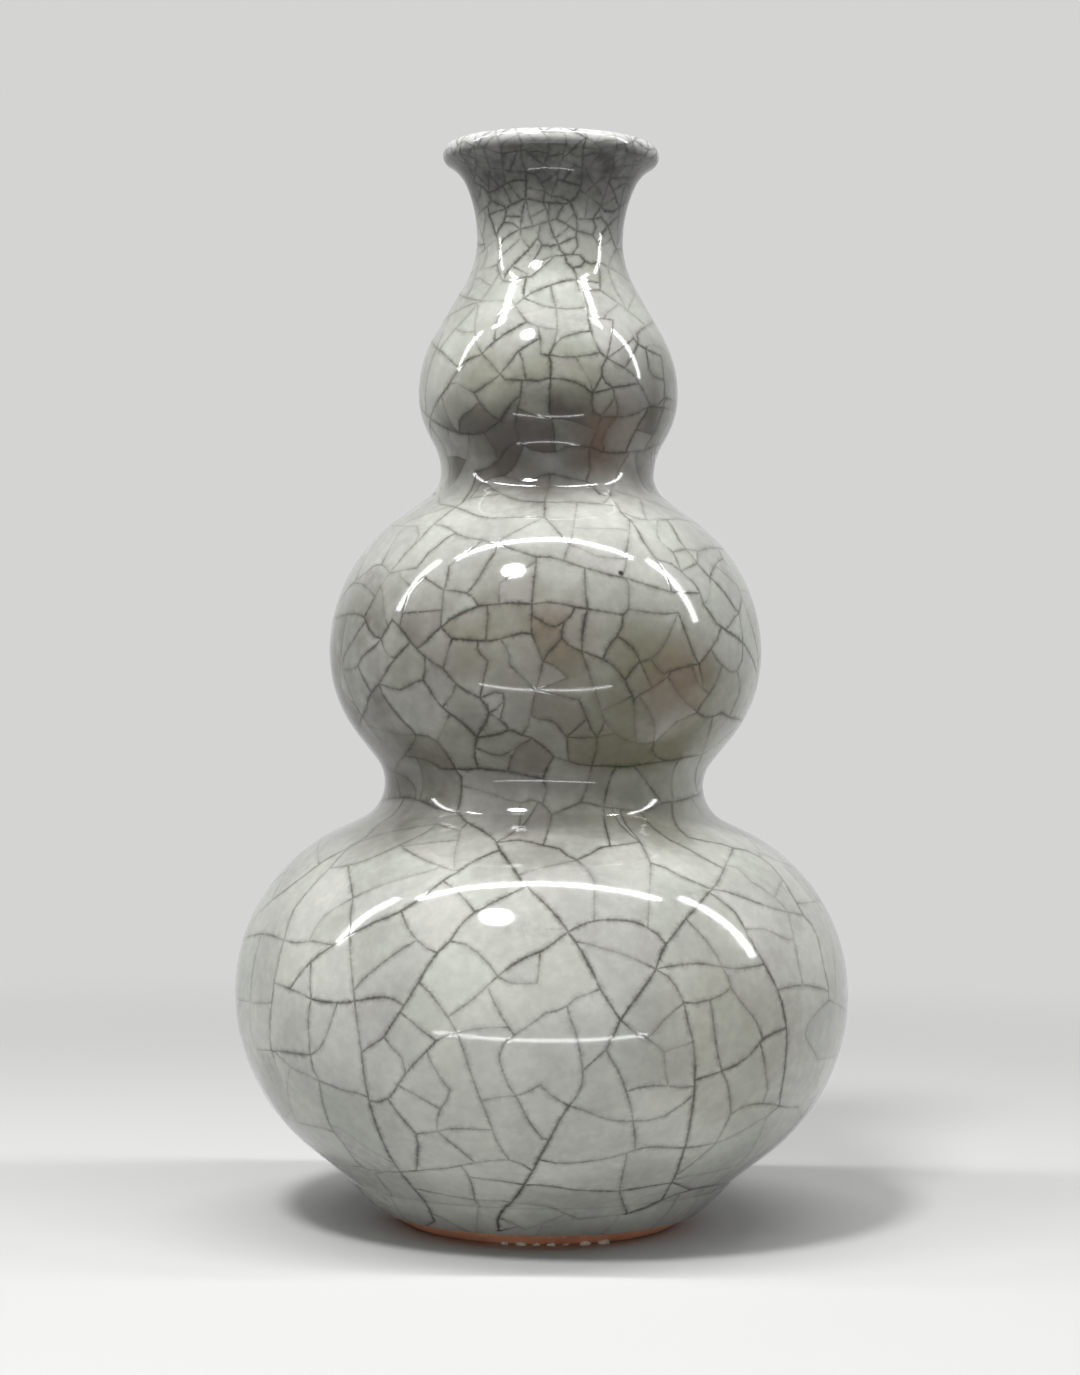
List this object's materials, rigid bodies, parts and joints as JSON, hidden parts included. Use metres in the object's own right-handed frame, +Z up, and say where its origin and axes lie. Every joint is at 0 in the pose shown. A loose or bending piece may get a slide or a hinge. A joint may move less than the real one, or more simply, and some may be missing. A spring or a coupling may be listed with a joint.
{
  "type": "triple gourd vase",
  "caption": "Gourd-shaped vase of stacked bulbs with a flared mouth and a low foot ring, luted clay sections under a crackled pale grey glaze, for flowers or display.",
  "frame": {"origin": "centre of the foot ring's contact face", "axes": "+Z up along the vase's axis; -Y is the side that the picture shows"},
  "size_m": [0.142, 0.142, 0.25],
  "materials": {
    "clay_body": "bare stoneware, fired orange brown at the foot, matt and grainy",
    "slip": "fired slip, matt",
    "crackle_glaze": "thick glossy pale grey glaze with a dark crackle network",
    "inner_glaze": "glossy pale grey glaze with a fine crackle",
    "base_glaze": "glossy pale grey glaze with a fine crackle",
    "kiln_grit": "rough whitish fired grit"
  },
  "bodies": {
    "root": {"foot_ring": "clay_body", "base_disc": "clay_body", "lower_bulb_bowl": "clay_body", "lower_bulb_shoulder": "clay_body", "middle_bulb_bowl": "clay_body", "middle_bulb_shoulder": "clay_body", "upper_bulb_bowl": "clay_body", "upper_bulb_shoulder": "clay_body", "mouth_flare": "clay_body", "foot_slip_seam": "slip", "base_slip_seam": "slip", "lower_belly_slip_seam": "slip", "lower_waist_slip_seam": "slip", "middle_belly_slip_seam": "slip", "upper_waist_slip_seam": "slip", "upper_belly_slip_seam": "slip", "neck_slip_seam": "slip", "outer_glaze": "crackle_glaze", "inner_glaze": "inner_glaze", "base_glaze": "base_glaze", "kiln_grit": "kiln_grit"}
  },
  "joints": []
}
